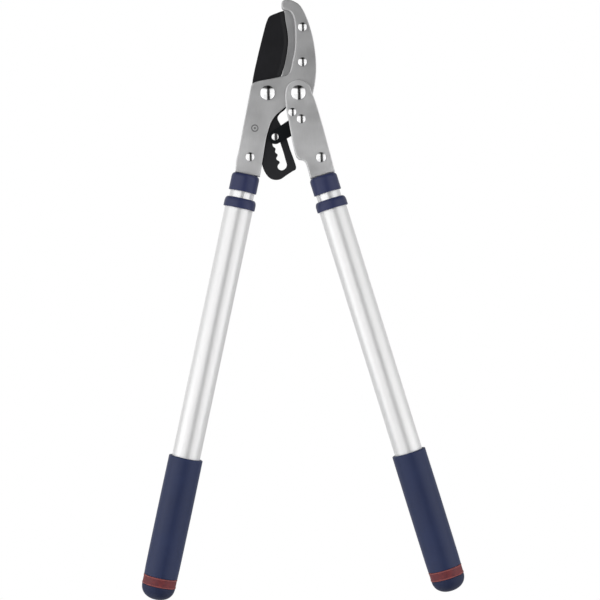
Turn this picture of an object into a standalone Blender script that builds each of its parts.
"""Telescopic ratchet anvil loppers, standing upright and closed.

The cutting head lies in the XZ plane with the jaw at the top.  The two
telescopic handles run down and apart, left towards -X and right towards +X.
Front is -Y and carries the bolt heads; back is +Y and carries the nuts.
The origin is at the bottom centre of the whole tool.  Metres, +Z up.

Sizes below are in mm.  Places are (x, z) in the head plane, with ORIGIN as
the point that lands on the world origin.
"""
import bpy
import bmesh
import math
from mathutils import Matrix, Vector

MM = 0.001
GAP = 0.3                       # clearance between neighbouring parts
ORIGIN = (-0.2, -0.92)

# ---------------------------------------------------------------- pivots and fasteners
LEVER_PIVOT = (-5.5, 566.5)     # the right lever turns here
BLADE_PIVOT = (-39.9, 566.5)
LINK_PIVOT = (-2.4, 537.2)      # the ratchet link hangs from the right lever
LINK_STOP = (-12.3, 544.8)
LINK_PIN = (-31.5, 517.4)       # pin in the blade's toothed slot
LEFT_RIVET = (-59.5, 495.0)
RIGHT_RIVET = (19.8, 494.3)
ANVIL_RIVET_UPPER = (-1.0, 640.3)
ANVIL_RIVET_LOWER = (-1.0, 601.2)

R_BOLT = 4.0
R_RIVET = 3.0
R_SMALL_RIVET = 2.5
R_SLOT_PIN = 2.25
R_BUSH = 8.0

# ---------------------------------------------------------------- layers
# distances from the middle plane
BLADE_HALF = 1.75
CHEEK_IN, CHEEK_OUT = 2.15, 5.15
FILL_HALF = CHEEK_IN - GAP      # anvil, bush and left tang, between the jaw plates
LINK_IN, LINK_OUT = CHEEK_IN, 4.75
LEVER_IN, LEVER_OUT = CHEEK_OUT + GAP, 8.45
CHEEK_SEAT = CHEEK_OUT + GAP    # underside of heads on the jaw plates
LEVER_SEAT = LEVER_OUT + GAP    # underside of heads on the lever plates

# ---------------------------------------------------------------- handles
# top of each handle axis, and its lean in degrees: positive runs down to -X
LEFT_TOP, LEFT_LEAN = (-64.0, 475.7), 12.0
RIGHT_TOP, RIGHT_LEAN = (21.5, 474.3), -17.3

R_PLUG = 10.7
R_INNER_IN, R_INNER = 12.2, 13.7
R_OUTER_IN, R_OUTER = 14.1, 15.8
R_FERRULE_TOP, R_FERRULE = 12.2, 15.7
R_COLLAR = 17.8
R_GRIP = 19.4
R_TUBE_PIN = 2.0
CHAMFER = 0.6

# S_ values are distances down the handle axis from its top
S_FERRULE_LIP = 3.0
S_FERRULE_SHOULDER = 4.6
S_FERRULE_END = 19.8
S_PLUG_END = 45.0
S_INNER_START, S_INNER_END = S_FERRULE_LIP + GAP, 400.0
S_TUBE_PIN = 11.5
S_COLLAR_START, S_COLLAR_END = 27.5, 38.8
S_COLLAR_SHOULDER = S_COLLAR_START + 5.8
S_OUTER_START, S_OUTER_END = 29.5, 470.3
S_GRIP_START, S_GRIP_END = 324.0, 460.0
S_BAND_START, S_BAND_END = S_GRIP_END + GAP, S_OUTER_END
S_CAP_START, S_CAP_END = S_OUTER_END + GAP, 486.0

STEPS = 24                      # sides of the larger round parts
SMOOTH_ANGLE = math.radians(30)

# ---------------------------------------------------------------- outlines
# closed polygons of (x, z) points
JAW_OUTLINE = (
    (-24.4, 666.0), (-24.0, 668.2), (-22.1, 670.0), (-18.3, 670.8), (-13.8, 670.2),
    (-9.4, 668.4), (-4.9, 665.5), (-0.8, 660.1), (4.0, 650.0), (8.2, 637.7),
    (11.5, 624.2), (13.8, 607.3), (14.4, 594.9), (13.8, 583.7), (11.6, 570.3),
    (8.8, 560.8), (3.0, 554.0), (-5.4, 550.8), (-13.8, 551.7), (-19.8, 550.7),
    (-26.1, 545.7), (-31.7, 540.5), (-35.5, 534.7), (-38.9, 526.1), (-41.9, 513.7),
    (-44.2, 499.7), (-46.3, 487.4), (-48.7, 472.8), (-76.1, 478.6), (-74.8, 491.9),
    (-72.2, 503.1), (-67.9, 525.5), (-63.5, 547.9), (-58.9, 571.4), (-58.0, 575.2),
    (-56.1, 577.6), (-50.7, 579.7), (-41.8, 581.5), (-31.7, 583.4), (-23.9, 585.2),
    (-18.8, 586.7), (-15.6, 589.6), (-13.8, 594.9), (-12.0, 603.9), (-10.1, 612.9),
    (-9.2, 621.8), (-9.2, 633.0), (-9.7, 643.1), (-11.1, 650.9), (-12.9, 655.2),
    (-16.0, 658.1), (-20.4, 659.2), (-23.4, 660.6), (-24.5, 663.0))
LEVER_OUTLINE = (
    (-20.0, 566.5), (-18.1, 573.8), (-12.8, 579.2), (-5.5, 581.1), (1.8, 579.2),
    (7.2, 573.8), (9.6, 566.9), (12.7, 559.1), (16.9, 546.2), (21.8, 529.4),
    (26.8, 510.9), (31.9, 491.9), (35.3, 478.9), (8.1, 470.5), (5.9, 479.0),
    (3.5, 487.2), (1.9, 490.1), (-0.8, 491.7), (-4.6, 492.4), (-7.3, 494.8),
    (-9.3, 499.7), (-11.2, 507.6), (-14.0, 521.6), (-16.7, 536.1), (-19.2, 549.6),
    (-20.0, 559.1))
BLADE_OUTLINE = (
    (-21.3, 659.3), (-26.3, 657.6), (-31.0, 655.8), (-35.0, 654.2), (-37.8, 652.7),
    (-39.5, 650.5), (-40.5, 648.1), (-41.6, 645.3), (-46.6, 626.3), (-52.0, 603.9),
    (-56.5, 582.6), (-57.6, 572.5), (-58.1, 563.6), (-58.4, 552.4), (-57.0, 538.9),
    (-53.4, 521.0), (-49.4, 503.1), (-46.3, 486.9), (-43.7, 479.6), (-39.5, 473.3),
    (-35.1, 470.3), (-29.5, 469.5), (-25.0, 470.6), (-19.4, 474.4), (-12.1, 479.2),
    (-8.6, 481.2), (-8.0, 483.6), (-10.4, 491.9), (-14.9, 504.2), (-18.4, 515.4),
    (-24.8, 530.0), (-28.8, 538.9), (-26.3, 543.5), (-20.3, 548.7), (-16.4, 557.0),
    (-15.6, 566.5), (-17.8, 574.8), (-22.1, 580.9), (-24.8, 585.3), (-22.4, 592.7),
    (-20.6, 598.3), (-19.4, 603.9), (-17.4, 615.1), (-16.6, 626.3), (-17.7, 637.5),
    (-19.7, 648.7))
SLOT_OUTLINE = (
    (-35.9, 516.9), (-34.7, 520.3), (-31.9, 521.6), (-28.9, 520.0), (-27.4, 516.5),
    (-25.5, 510.2), (-23.2, 503.4), (-21.6, 498.2), (-20.1, 492.4), (-18.8, 488.2),
    (-18.5, 485.8), (-19.3, 483.4), (-21.2, 481.3), (-24.0, 480.2), (-26.5, 480.8),
    (-28.3, 482.6), (-28.8, 484.8), (-28.0, 486.7), (-26.7, 488.1), (-26.4, 489.4),
    (-27.3, 490.6), (-29.0, 491.6), (-30.1, 493.0), (-30.0, 494.6), (-29.1, 496.0),
    (-28.7, 497.3), (-29.2, 498.5), (-30.6, 499.5), (-31.5, 500.9), (-31.4, 502.5),
    (-31.0, 503.9), (-31.4, 505.2), (-32.8, 506.1), (-34.0, 507.5), (-34.7, 511.5))
ANVIL_OUTLINE = (
    (-20.4, 658.8), (-19.4, 648.7), (-17.4, 637.5), (-16.3, 626.3), (-17.1, 615.1),
    (-18.9, 603.9), (-20.2, 598.3), (-22.0, 592.7), (-23.4, 588.6), (-24.0, 585.7),
    (-18.0, 583.4), (5.0, 583.4), (7.2, 590.5), (7.0, 603.9), (5.9, 620.7),
    (4.1, 637.5), (0.9, 648.7), (-4.0, 657.7), (-9.4, 662.0), (-14.9, 662.8),
    (-19.2, 661.9))
LEFT_TANG_OUTLINE = (
    (-69.2, 506.5), (-53.9, 506.5), (-52.8, 491.9), (-53.8, 478.0), (-55.3, 467.9),
    (-74.5, 472.0), (-73.2, 478.5), (-72.0, 491.9))
RIGHT_TANG_OUTLINE = (
    (9.2, 513.2), (24.3, 513.2), (28.6, 495.0), (29.9, 477.5), (31.9, 471.3),
    (14.7, 465.9), (12.9, 472.0), (8.6, 487.4), (7.4, 503.1))

# ---------------------------------------------------------------- scene
for old in list(bpy.data.objects):
    bpy.data.objects.remove(old, do_unlink=True)

part_collection = bpy.data.collections.new("telescopic_ratchet_loppers")
cutter_collection = bpy.data.collections.new("cutters")
bpy.context.scene.collection.children.link(part_collection)
bpy.context.scene.collection.children.link(cutter_collection)

# ---------------------------------------------------------------- materials
CAST = dict(rgb=(0.42, 0.42, 0.43), roughness=0.45, metallic=0.9)
FORGED = dict(rgb=(0.34, 0.34, 0.35), roughness=0.45, metallic=0.9)
BLACK = dict(rgb=(0.02, 0.02, 0.024), roughness=0.35, metallic=0.4)
CHROME = dict(rgb=(0.8, 0.8, 0.8), roughness=0.12, metallic=1.0)
STEEL = dict(rgb=(0.5, 0.5, 0.51), roughness=0.35, metallic=1.0)
BRONZE = dict(rgb=(0.45, 0.3, 0.12), roughness=0.4, metallic=1.0)
ALUMINIUM = dict(rgb=(0.82, 0.82, 0.83), roughness=0.3, metallic=1.0)
BLUE = dict(rgb=(0.045, 0.05, 0.1), roughness=0.5, metallic=0.0)
RUBBER = dict(rgb=(0.03, 0.042, 0.09), roughness=0.65, metallic=0.0)
RED = dict(rgb=(0.35, 0.06, 0.06), roughness=0.5, metallic=0.0)
NYLON = dict(rgb=(0.12, 0.12, 0.13), roughness=0.5, metallic=0.0)


def material(name, rgb, roughness, metallic):
    mat = bpy.data.materials.new(name)
    mat.use_nodes = True
    inputs = mat.node_tree.nodes["Principled BSDF"].inputs
    inputs["Base Color"].default_value = (*rgb, 1.0)
    inputs["Roughness"].default_value = roughness
    inputs["Metallic"].default_value = metallic
    mat.diffuse_color = (*rgb, 1.0)
    return mat


# ---------------------------------------------------------------- placing
def place(at, y=0.0):
    """World position in metres of a head-plane point."""
    return Vector(((at[0] - ORIGIN[0]) * MM, y * MM, (at[1] - ORIGIN[1]) * MM))


def cross_matrix(at, y=0.0):
    """Frame at a pivot whose local +Z points to the front (-Y)."""
    return Matrix.Translation(place(at, y)) @ Matrix.Rotation(math.pi / 2, 4, "X")


def handle_matrix(top, lean):
    """Frame whose local -Z runs down the handle axis from its top."""
    return Matrix.Translation(place(top)) @ Matrix.Rotation(math.radians(lean), 4, "Y")


def down_axis(axis, s, x=0.0):
    """Handle frame moved s down its axis and x sideways."""
    return axis @ Matrix.Translation((x * MM, 0, -s * MM))


# ---------------------------------------------------------------- moving bodies
ROOT = "jaw_and_left_lever"
anchors = {}                    # body name: (its empty, world position)


def add_body(name, at, parent=None):
    """Empty on a body's joint axis, which carries the body's pieces."""
    empty = bpy.data.objects.new("axis_" + name, None)
    empty.empty_display_size = 0.02
    part_collection.objects.link(empty)
    here = place(at)
    base = Vector((0, 0, 0))
    if parent:
        empty.parent, base = anchors[parent]
    empty.location = here - base
    anchors[name] = (empty, here)


add_body(ROOT, ORIGIN)
add_body("blade", BLADE_PIVOT)
add_body("right_lever", LEVER_PIVOT)
add_body("ratchet_link", LINK_PIVOT, "right_lever")
add_body("left_lock", LEFT_TOP)
add_body("left_outer", LEFT_TOP, "left_lock")
add_body("right_lock", RIGHT_TOP, "right_lever")
add_body("right_outer", RIGHT_TOP, "right_lock")


# ---------------------------------------------------------------- builders
def finish(piece, name, mat, body):
    """Name, shade and colour a piece and hand it to its body."""
    empty, here = anchors[body]
    piece.name = name
    mesh = piece.data
    mesh.name = name
    mesh.transform(piece.matrix_world)
    piece.matrix_world = Matrix.Identity(4)
    mesh.materials.clear()
    mesh.materials.append(mat)
    mesh.shade_smooth()
    mesh.set_sharp_from_angle(angle=SMOOTH_ANGLE)
    mesh.transform(Matrix.Translation(-here))
    piece.parent = empty


def bake(source):
    """Replace an object by its evaluated form as a clean plain mesh."""
    bpy.context.view_layer.update()
    depsgraph = bpy.context.evaluated_depsgraph_get()
    mesh = bpy.data.meshes.new_from_object(source.evaluated_get(depsgraph))
    baked = bpy.data.objects.new(source.name + "_m", mesh)
    part_collection.objects.link(baked)
    baked.matrix_world = source.matrix_world.copy()
    bpy.data.objects.remove(source, do_unlink=True)
    bm = bmesh.new()
    bm.from_mesh(mesh)
    bmesh.ops.remove_doubles(bm, verts=bm.verts, dist=1e-6)
    bmesh.ops.recalc_face_normals(bm, faces=bm.faces)
    bm.to_mesh(mesh)
    bm.free()
    return baked


def boolean(piece, cutter, operation):
    """Piece joined with or cut by the cutter, which is used up."""
    modifier = piece.modifiers.new("Cut", "BOOLEAN")
    modifier.operation = operation
    modifier.solver = "EXACT"
    modifier.object = cutter
    result = bake(piece)
    bpy.data.objects.remove(cutter, do_unlink=True)
    return result


def mesh_object(name, bm, matrix, collection=part_collection):
    mesh = bpy.data.meshes.new(name)
    bm.to_mesh(mesh)
    bm.free()
    made = bpy.data.objects.new(name, mesh)
    collection.objects.link(made)
    made.matrix_world = matrix
    return made


def add_polyline(curve, points, cyclic):
    """Straight-sided spline through points given in metres."""
    spline = curve.splines.new("POLY")
    spline.points.add(len(points) - 1)
    for knot, point in zip(spline.points, points):
        knot.co = (*point, 1.0)
    spline.use_cyclic_u = cyclic


def plate(name, outline, holes, y0, y1):
    """Flat plate between y0 and y1 from an outline in the head plane."""
    curve = bpy.data.curves.new(name, "CURVE")
    curve.dimensions = "2D"
    curve.fill_mode = "BOTH"
    curve.extrude = (y1 - y0) / 2 * MM
    for ring in [outline] + holes:
        add_polyline(curve, [(x * MM, z * MM, 0.0) for x, z in ring], cyclic=True)
    drawn = bpy.data.objects.new(name + "_curve", curve)
    part_collection.objects.link(drawn)
    drawn.rotation_euler = (math.pi / 2, 0, 0)
    drawn.location = place((0, 0), (y0 + y1) / 2)
    return bake(drawn)


def plate_pair(name, outline, holes, inner, outer, mat_name, look, body):
    """The same plate in front of and behind the middle plane."""
    finish(plate(name + "_front", outline, holes, -outer, -inner),
           name + "_front", material(mat_name, **look), body)
    finish(plate(name + "_back", outline, holes, inner, outer),
           name + "_back", material(mat_name + "_back", **look), body)


def hole(at, radius, sides=16):
    """Round hole that clears a shank of the given radius."""
    radius += GAP
    return [(at[0] + radius * math.cos(2 * math.pi * k / sides),
             at[1] + radius * math.sin(2 * math.pi * k / sides)) for k in range(sides)]


def turned(name, profile, matrix, steps=STEPS, loop=False):
    """Solid turned about local Z from (radius, height) points; loop closes
    the profile round a bore."""
    bm = bmesh.new()
    verts = [bm.verts.new((radius * MM, 0.0, height * MM)) for radius, height in profile]
    for first, second in zip(verts, verts[1:]):
        bm.edges.new((first, second))
    if loop:
        bm.edges.new((verts[-1], verts[0]))
    blank = mesh_object(name, bm, matrix)
    modifier = blank.modifiers.new("Turn", "SCREW")
    modifier.axis = "Z"
    modifier.angle = 2 * math.pi
    modifier.steps = steps
    modifier.render_steps = steps
    modifier.use_merge_vertices = True
    modifier.merge_threshold = 1e-5
    return bake(blank)


def turned_down(name, profile, axis, loop=True):
    """Turned solid from (radius, s) points, s being down the handle axis."""
    return turned(name, [(radius, -s) for radius, s in profile], axis, loop=loop)


def cylinder(name, radius, length, matrix, sides=24, collection=cutter_collection):
    bm = bmesh.new()
    bmesh.ops.create_cone(bm, cap_ends=True, cap_tris=False, segments=sides,
                          radius1=radius * MM, radius2=radius * MM, depth=length * MM)
    return mesh_object(name, bm, matrix, collection)


# ---------------------------------------------------------------- fasteners
RIM_SHARE = 0.16                # upright rim of a domed head, as a share of its rise
BOLT_HEAD_R, BOLT_HEAD_RISE = 8.2, 4.6
BOLT_CHAMFER = 0.6
NUT_ACROSS_FLATS, NUT_HEIGHT = 13.0, 6.0
NUT_INSET = 0.6                 # bolt tip below the nut's outer face


def dome(radius, base, rise, steps=3):
    """Profile of a domed head, apex first, down to its rim."""
    points = []
    for k in range(steps + 1):
        angle = math.pi / 2 * k / steps
        share = RIM_SHARE + (1 - RIM_SHARE) * math.cos(angle)
        points.append((radius * math.sin(angle), base + rise * share))
    return points + [(radius, base)]


def rivet(name, at, body, mat, head, seat, rise, shank, collar=()):
    """Domed head front and back on one shank; collar holds the extra front
    profile points of a wider ring, mirrored to the back."""
    front = dome(head, seat, rise) + [(shank, seat), *collar]
    back = [(radius, -height) for radius, height in reversed(front)]
    finish(turned(name, front + back, cross_matrix(at), steps=12), name, mat, body)


def pivot_bolt(name, at, seat, bolt_mat, nut_mat):
    """Dome-headed bolt through the stack with a hexagon nut at the back."""
    tip = seat + NUT_HEIGHT - NUT_INSET
    profile = dome(BOLT_HEAD_R, seat, BOLT_HEAD_RISE, 5) + [
        (R_BOLT, seat), (R_BOLT, -tip + BOLT_CHAMFER), (R_BOLT - BOLT_CHAMFER, -tip), (0.0, -tip)]
    finish(turned(name + "_bolt", profile, cross_matrix(at)), name + "_bolt", bolt_mat, ROOT)

    middle = cross_matrix(at, seat + NUT_HEIGHT / 2)
    corner_radius = NUT_ACROSS_FLATS / math.cos(math.pi / 6) / 2
    nut = boolean(cylinder(name + "_nut_blank", corner_radius, NUT_HEIGHT, middle, sides=6),
                  cylinder(name + "_nut_hole", R_BOLT + GAP, NUT_HEIGHT * 2, middle),
                  "DIFFERENCE")
    finish(nut, name + "_nut", nut_mat, ROOT)


# ---------------------------------------------------------------- jaw and anvil
anvil_holes = [hole(ANVIL_RIVET_UPPER, R_RIVET), hole(ANVIL_RIVET_LOWER, R_RIVET)]
jaw_holes = [hole(LEVER_PIVOT, R_BOLT), hole(BLADE_PIVOT, R_BOLT),
             hole(LEFT_RIVET, R_RIVET)] + anvil_holes
plate_pair("jaw_plate", JAW_OUTLINE, jaw_holes, CHEEK_IN, CHEEK_OUT, "jaw_silver", CAST, ROOT)

finish(plate("anvil_bar", ANVIL_OUTLINE, anvil_holes, -FILL_HALF, FILL_HALF),
       "anvil_bar", material("anvil_alloy", **FORGED), ROOT)
for rivet_name, rivet_at in (("anvil_rivet_upper", ANVIL_RIVET_UPPER),
                             ("anvil_rivet_lower", ANVIL_RIVET_LOWER)):
    rivet(rivet_name, rivet_at, ROOT, material(rivet_name + "_metal", **CHROME),
          head=5.0, seat=CHEEK_SEAT, rise=2.4, shank=R_RIVET)

# ---------------------------------------------------------------- blade
finish(plate("blade", BLADE_OUTLINE, [hole(BLADE_PIVOT, R_BUSH), SLOT_OUTLINE],
             -BLADE_HALF, BLADE_HALF),
       "blade", material("blade_black", **BLACK), "blade")

bush_profile = [(R_BUSH, FILL_HALF), (R_BUSH, -FILL_HALF),
                (R_BOLT + GAP, -FILL_HALF), (R_BOLT + GAP, FILL_HALF)]
finish(turned("blade_bush", bush_profile, cross_matrix(BLADE_PIVOT), steps=16, loop=True),
       "blade_bush", material("bush_bronze", **BRONZE), "blade")

pivot_bolt("blade_pivot", BLADE_PIVOT, CHEEK_SEAT,
           material("blade_bolt_metal", **CHROME), material("blade_nut_metal", **STEEL))
pivot_bolt("lever_pivot", LEVER_PIVOT, LEVER_SEAT,
           material("lever_bolt_metal", **CHROME), material("lever_nut_metal", **STEEL))

# ---------------------------------------------------------------- right lever
R_STOP_COLLAR = 4.2

lever_holes = [hole(LEVER_PIVOT, R_BOLT), hole(LINK_PIVOT, R_SMALL_RIVET),
               hole(LINK_STOP, R_SMALL_RIVET), hole(RIGHT_RIVET, R_RIVET)]
plate_pair("lever_plate", LEVER_OUTLINE, lever_holes, LEVER_IN, LEVER_OUT,
           "lever_silver", CAST, "right_lever")
rivet("link_pivot_rivet", LINK_PIVOT, "right_lever", material("link_rivet_metal", **CHROME),
      head=5.0, seat=LEVER_SEAT, rise=2.2, shank=R_SMALL_RIVET)
rivet("link_stop_rivet", LINK_STOP, "right_lever", material("stop_rivet_metal", **CHROME),
      head=4.6, seat=LEVER_SEAT, rise=2.2, shank=R_SMALL_RIVET,
      collar=((R_SMALL_RIVET, LEVER_IN - GAP), (R_STOP_COLLAR, LEVER_IN - GAP),
              (R_STOP_COLLAR, LINK_IN), (R_SMALL_RIVET, LINK_IN)))

# ---------------------------------------------------------------- link spring
R_SPRING = 3.5                  # to the middle of the wire
R_WIRE = 0.4
SPRING_PITCH = 2 * R_WIRE + 0.12
SPRING_TURNS = 2.75
SPRING_STEPS_PER_TURN = 10
SPRING_LEG = 6.0


def spring_points():
    """(x, y, z) points of a coil about the link pivot with a straight leg
    at each end; the coil starts on the side of the ratchet pin."""
    start = math.atan2(LINK_PIN[1] - LINK_PIVOT[1], LINK_PIN[0] - LINK_PIVOT[0])
    half_width = SPRING_PITCH * SPRING_TURNS / 2
    count = int(SPRING_TURNS * SPRING_STEPS_PER_TURN)
    coil = []
    for k in range(count + 1):
        angle = start + 2 * math.pi * k / SPRING_STEPS_PER_TURN
        coil.append((LINK_PIVOT[0] + R_SPRING * math.cos(angle),
                     -half_width + 2 * half_width * k / count,
                     LINK_PIVOT[1] + R_SPRING * math.sin(angle)))

    def leg_end(point, angle, length):
        x, y, z = point
        return (x - length * math.sin(angle), y, z + length * math.cos(angle))

    # the last leg takes its direction from the full turn count, which the
    # whole steps of the coil stop just short of
    end = start + 2 * math.pi * SPRING_TURNS
    return [leg_end(coil[0], start, -SPRING_LEG), *coil, leg_end(coil[-1], end, SPRING_LEG)]


wire_curve = bpy.data.curves.new("link_spring", "CURVE")
wire_curve.dimensions = "3D"
wire_curve.bevel_depth = R_WIRE * MM
wire_curve.bevel_resolution = 0
wire_curve.use_fill_caps = True
add_polyline(wire_curve, [place((x, z), y) for x, y, z in spring_points()], cyclic=False)
wire = bpy.data.objects.new("link_spring_wire", wire_curve)
part_collection.objects.link(wire)
finish(bake(wire), "link_spring", material("spring_steel", **STEEL), "right_lever")

# ---------------------------------------------------------------- ratchet link
R_LINK_PIN_END = 7.5
LINK_PIVOT_END = 7.0            # reach beyond the pivot
LINK_EDGE_UP, LINK_EDGE_DOWN = 7.0, 9.0


def link_outline(steps=10):
    """Bar with two round ends, fuller on the lower side of the pivot end."""
    pivot, pin = Vector(LINK_PIVOT), Vector(LINK_PIN)
    along = (pin - pivot).normalized()
    up = Vector((along.y, -along.x))     # across the bar, to the stop rivet's side
    length = (pin - pivot).length
    points = []
    for k in range(steps + 1):           # round the pin end, from the upper edge
        angle = math.pi / 2 - math.pi * k / steps
        points.append(pin + along * R_LINK_PIN_END * math.cos(angle)
                      + up * R_LINK_PIN_END * math.sin(angle))
    points.append(pivot + along * (length * 0.62) - up * LINK_EDGE_DOWN * 0.97)
    for k in range(steps + 1):           # round the pivot end, from the lower edge
        angle = math.pi * k / steps
        edge = LINK_EDGE_DOWN if angle < math.pi / 2 else LINK_EDGE_UP
        shift = 3.0 if k == 0 else 0.0   # first point moved towards the pin
        points.append(pivot - along * LINK_PIVOT_END * math.sin(angle)
                      - up * edge * math.cos(angle) + along * shift)
    points.append(pivot + along * (length * 0.7) + up * LINK_EDGE_UP)
    return [(point.x, point.y) for point in points]


plate_pair("link_plate", link_outline(),
           [hole(LINK_PIVOT, R_SMALL_RIVET), hole(LINK_PIN, R_SLOT_PIN)],
           LINK_IN, LINK_OUT, "link_black", BLACK, "ratchet_link")
rivet("ratchet_pin", LINK_PIN, "ratchet_link", material("ratchet_pin_metal", **STEEL),
      head=3.9, seat=LINK_OUT + GAP, rise=0.9, shank=R_SLOT_PIN)


# ---------------------------------------------------------------- fixed half of a handle
def shoulder(radius0, s0, radius1, s1, steps=3):
    """Inner points of a convex quarter curve from (radius0, s0) to (radius1, s1)."""
    points = []
    for k in range(1, steps):
        angle = math.pi / 2 * k / steps
        points.append((radius0 + (radius1 - radius0) * math.sin(angle),
                       s1 - (s1 - s0) * math.cos(angle)))
    return points


def tube_pin_matrix(axis):
    return down_axis(axis, S_TUBE_PIN) @ Matrix.Rotation(math.pi / 2, 4, "X")


def drill_pin_hole(piece, axis):
    drill = cylinder("pin_hole", R_TUBE_PIN + GAP, 40, tube_pin_matrix(axis), sides=16)
    return boolean(piece, drill, "DIFFERENCE")


def tang(side, axis, body, outline, half, rivet_at):
    """Flat tongue between the plates with a round plug in the inner tube."""
    flat = plate(side + "_tang_flat", outline, [hole(rivet_at, R_RIVET)], -half, half)
    fit = R_INNER_IN - GAP
    plug = turned(side + "_plug",
                  [(0, 0), (R_PLUG, 0), (R_PLUG, -S_INNER_START), (fit, -S_INNER_START),
                   (fit, -(S_PLUG_END - 1)), (R_INNER_IN - 1.5, -S_PLUG_END),
                   (0, -S_PLUG_END)], axis)
    finish(drill_pin_hole(boolean(flat, plug, "UNION"), axis),
           side + "_tang", material(side + "_tang_steel", **FORGED), body)


def ferrule(side, axis, body):
    profile = [(R_PLUG + GAP, 0.0), (R_FERRULE_TOP, 0.0),
               *shoulder(R_FERRULE_TOP, 0.0, R_FERRULE, S_FERRULE_SHOULDER),
               (R_FERRULE, S_FERRULE_SHOULDER), (R_FERRULE, S_FERRULE_END - CHAMFER),
               (R_FERRULE - CHAMFER, S_FERRULE_END), (R_INNER + GAP, S_FERRULE_END),
               (R_INNER + GAP, S_FERRULE_LIP), (R_PLUG + GAP, S_FERRULE_LIP)]
    finish(turned_down(side + "_ferrule", profile, axis),
           side + "_ferrule", material(side + "_ferrule_blue", **BLUE), body)


def inner_tube(side, axis, body):
    """Inner tube and the cross pin that holds it to the tang."""
    blank = turned_down(side + "_inner_blank",
                        [(R_INNER, S_INNER_START), (R_INNER, S_INNER_END),
                         (R_INNER_IN, S_INNER_END), (R_INNER_IN, S_INNER_START)], axis)
    finish(drill_pin_hole(blank, axis),
           side + "_inner_tube", material(side + "_inner_alu", **ALUMINIUM), body)
    pin = cylinder(side + "_tube_pin_blank", R_TUBE_PIN, 2 * R_INNER - 0.4,
                   tube_pin_matrix(axis), sides=16, collection=part_collection)
    finish(pin, side + "_tube_pin", material(side + "_tube_pin_metal", **STEEL), body)


# ---------------------------------------------------------------- twist lock
# LOCK_ values are distances down from the inner tube's end
LOCK_MIDDLE = 16.0
LOCK_FLANGE_END = 4.0
LOCK_FOOT = 31.0                # middle of the foot
LOCK_SLEEVE_START, LOCK_SLEEVE_END = 4.5, 28.5
SPINDLE_DEPTH = 15.0            # length of spindle inside the inner tube
R_NECK, NECK_LENGTH, NECK_OFFSET = 5.5, 28.0, 1.0
R_FOOT, FOOT_LENGTH = 11.0, 3.0
R_SLEEVE_BORE, R_SLEEVE_END = 7.0, 13.2
SLEEVE_TAPER = 1.5
SLIT_SIZE = (12, 2, 40)
SLIT_X = -10.0


def lock_spindle(side, axis, body):
    """Plug and flange on the inner tube's end, with an eccentric neck and a foot."""
    end = S_INNER_END
    fit = R_INNER_IN - GAP
    spindle = turned_down(side + "_spindle",
                          [(0, end - SPINDLE_DEPTH), (fit, end - SPINDLE_DEPTH),
                           (fit, end + GAP), (R_INNER, end + GAP),
                           (R_INNER, end + LOCK_FLANGE_END), (0, end + LOCK_FLANGE_END)],
                          axis, loop=False)
    neck = cylinder(side + "_neck", R_NECK, NECK_LENGTH,
                    down_axis(axis, end + LOCK_MIDDLE, x=NECK_OFFSET))
    spindle = boolean(spindle, neck, "UNION")
    foot = cylinder(side + "_foot", R_FOOT, FOOT_LENGTH, down_axis(axis, end + LOCK_FOOT))
    finish(boolean(spindle, foot, "UNION"),
           side + "_lock_spindle", material(side + "_spindle_nylon", **NYLON), body)


def lock_sleeve(side, axis):
    """Sleeve around the neck, slit on its local -X side."""
    start = S_INNER_END + LOCK_SLEEVE_START
    end = S_INNER_END + LOCK_SLEEVE_END
    fit = R_OUTER_IN - GAP
    sleeve = turned_down(side + "_sleeve",
                         [(R_SLEEVE_END, start), (fit, start + SLEEVE_TAPER),
                          (fit, end - SLEEVE_TAPER), (R_SLEEVE_END, end),
                          (R_SLEEVE_BORE, end), (R_SLEEVE_BORE, start)], axis)
    bm = bmesh.new()
    bmesh.ops.create_cube(bm, size=1.0)
    bmesh.ops.scale(bm, vec=[size * MM for size in SLIT_SIZE], verts=bm.verts)
    slit = mesh_object("slit", bm, down_axis(axis, S_INNER_END + LOCK_MIDDLE, x=SLIT_X),
                       cutter_collection)
    finish(boolean(sleeve, slit, "DIFFERENCE"),
           side + "_lock_sleeve", material(side + "_sleeve_nylon", **NYLON), side + "_lock")


# ---------------------------------------------------------------- sliding half of a handle
# profiles of (radius, s) points
OUTER_TUBE_PROFILE = [(R_OUTER, S_OUTER_START), (R_OUTER, S_OUTER_END),
                      (R_OUTER_IN, S_OUTER_END), (R_OUTER_IN, S_OUTER_START)]
R_COLLAR_TOP = R_OUTER_IN + 0.5
COLLAR_PROFILE = [
    (R_OUTER_IN, S_COLLAR_START), (R_COLLAR_TOP, S_COLLAR_START),
    *shoulder(R_COLLAR_TOP, S_COLLAR_START, R_COLLAR, S_COLLAR_SHOULDER),
    (R_COLLAR, S_COLLAR_SHOULDER), (R_COLLAR, S_COLLAR_END - CHAMFER),
    (R_COLLAR - CHAMFER, S_COLLAR_END), (R_OUTER + GAP, S_COLLAR_END),
    (R_OUTER + GAP, S_OUTER_START - GAP), (R_OUTER_IN, S_OUTER_START - GAP)]
GRIP_PROFILE = [
    (R_OUTER + GAP, S_GRIP_START), (R_GRIP - 0.9, S_GRIP_START),
    (R_GRIP - 0.2, S_GRIP_START + 0.7), (R_GRIP - 0.2, S_GRIP_START + 6),
    (R_GRIP, S_GRIP_START + 60), (R_GRIP - 0.1, S_GRIP_END - 20),
    (R_GRIP - 0.4, S_GRIP_END), (R_OUTER + GAP, S_GRIP_END)]
BAND_PROFILE = [(R_GRIP - 0.7, S_BAND_START), (R_GRIP - 0.8, S_BAND_END),
                (R_OUTER + GAP, S_BAND_END), (R_OUTER + GAP, S_BAND_START)]
R_CAP = R_GRIP - 0.6
CAP_PLUG_DEPTH = 18.0           # length of cap inside the outer tube
CAP_STEPS = 5
CAP_FLAT = 1.1                  # widens the flat end of the cap's rounding
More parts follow.
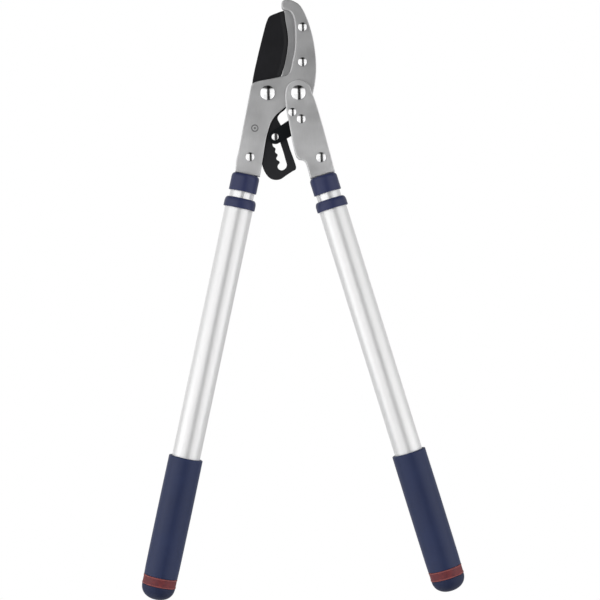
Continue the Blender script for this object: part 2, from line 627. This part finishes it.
CAP_POWER = 0.9                 # below 1 makes the rounding fuller


def cap_profile():
    """Plug in the outer tube and a rounded end with a small flat."""
    fit = R_OUTER_IN - GAP
    points = [(0, S_OUTER_END - CAP_PLUG_DEPTH), (fit, S_OUTER_END - CAP_PLUG_DEPTH),
              (fit, S_CAP_START), (R_CAP, S_CAP_START)]
    for k in range(1, CAP_STEPS + 1):
        angle = math.pi / 2 * (1 - k / (CAP_STEPS + CAP_FLAT))
        rise = math.cos(angle) ** CAP_POWER if k < CAP_STEPS else 1.0
        points.append((R_CAP * math.sin(angle) ** CAP_POWER,
                       S_CAP_START + (S_CAP_END - S_CAP_START) * rise))
    return points + [(0, S_CAP_END)]


# piece, profile, material, look, closed round a bore
SLIDING_PIECES = (
    ("_outer_tube", OUTER_TUBE_PROFILE, "_outer_alu", ALUMINIUM, True),
    ("_tube_collar", COLLAR_PROFILE, "_collar_blue", BLUE, True),
    ("_grip", GRIP_PROFILE, "_grip_rubber", RUBBER, True),
    ("_grip_band", BAND_PROFILE, "_band_red", RED, True),
    ("_end_cap", cap_profile(), "_cap_blue", RUBBER, False))


# ---------------------------------------------------------------- whole handles
def handle(side, top, lean, body, tang_outline, tang_half, rivet_at, rivet_head, rivet_seat):
    axis = handle_matrix(top, lean)
    tang(side, axis, body, tang_outline, tang_half, rivet_at)
    rivet(side + "_tang_rivet", rivet_at, body, material(side + "_tang_rivet_metal", **CHROME),
          head=rivet_head, seat=rivet_seat, rise=2.3, shank=R_RIVET)
    ferrule(side, axis, body)
    inner_tube(side, axis, body)
    lock_spindle(side, axis, body)
    lock_sleeve(side, axis)
    for piece, profile, mat_name, look, loop in SLIDING_PIECES:
        finish(turned_down(side + piece, profile, axis, loop=loop),
               side + piece, material(side + mat_name, **look), side + "_outer")


handle("left", LEFT_TOP, LEFT_LEAN, ROOT,
       tang_outline=LEFT_TANG_OUTLINE, tang_half=FILL_HALF,
       rivet_at=LEFT_RIVET, rivet_head=5.0, rivet_seat=CHEEK_SEAT)
handle("right", RIGHT_TOP, RIGHT_LEAN, "right_lever",
       tang_outline=RIGHT_TANG_OUTLINE, tang_half=LEVER_IN - GAP,
       rivet_at=RIGHT_RIVET, rivet_head=5.6, rivet_seat=LEVER_SEAT)
